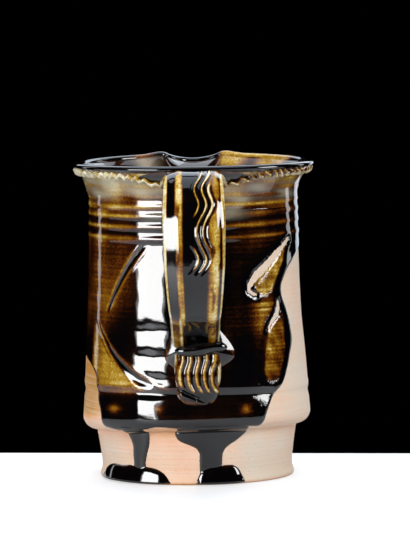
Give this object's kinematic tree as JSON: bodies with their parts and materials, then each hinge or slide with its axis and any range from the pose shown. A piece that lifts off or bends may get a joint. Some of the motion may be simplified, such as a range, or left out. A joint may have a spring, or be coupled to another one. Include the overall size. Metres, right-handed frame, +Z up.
{
  "type": "stoneware pitcher",
  "caption": "Wheel-thrown stoneware pitcher with stepped foot, crimped flared rim, pulled pouring lip, strap handle with combed tail, and dark iron glaze that runs over bare clay.",
  "frame": {"origin": "centre of the underside, on the table", "axes": "+Z up, +Y towards the pouring lip, -Y towards the handle"},
  "size_m": [0.1392, 0.1867, 0.1879],
  "materials": {
    "bare_stoneware": "matt fired clay, pinkish buff with iron specks",
    "iron_glaze": "glossy near-black iron glaze",
    "amber_glaze": "glossy iron glaze, thin and amber brown",
    "cream_glaze": "semi-gloss, glaze broken to cream over the crimped edge"
  },
  "bodies": {
    "root": {"floor_slab": "bare_stoneware", "foot_wall": "bare_stoneware", "body_wall": "bare_stoneware", "flared_rim": "iron_glaze", "pouring_lip": "iron_glaze", "handle_strap": "iron_glaze", "tail_roll": "iron_glaze", "combed_tail": "amber_glaze", "foot_ear_left": "iron_glaze", "foot_ear_right": "iron_glaze", "crimped_edge_left": "cream_glaze", "crimped_edge_right": "cream_glaze", "root_wing_left": "amber_glaze", "root_wing_right": "amber_glaze", "outer_glaze": "iron_glaze", "liner_glaze": "amber_glaze", "foot_run_left": "iron_glaze", "foot_run_right": "iron_glaze"}
  },
  "joints": []
}
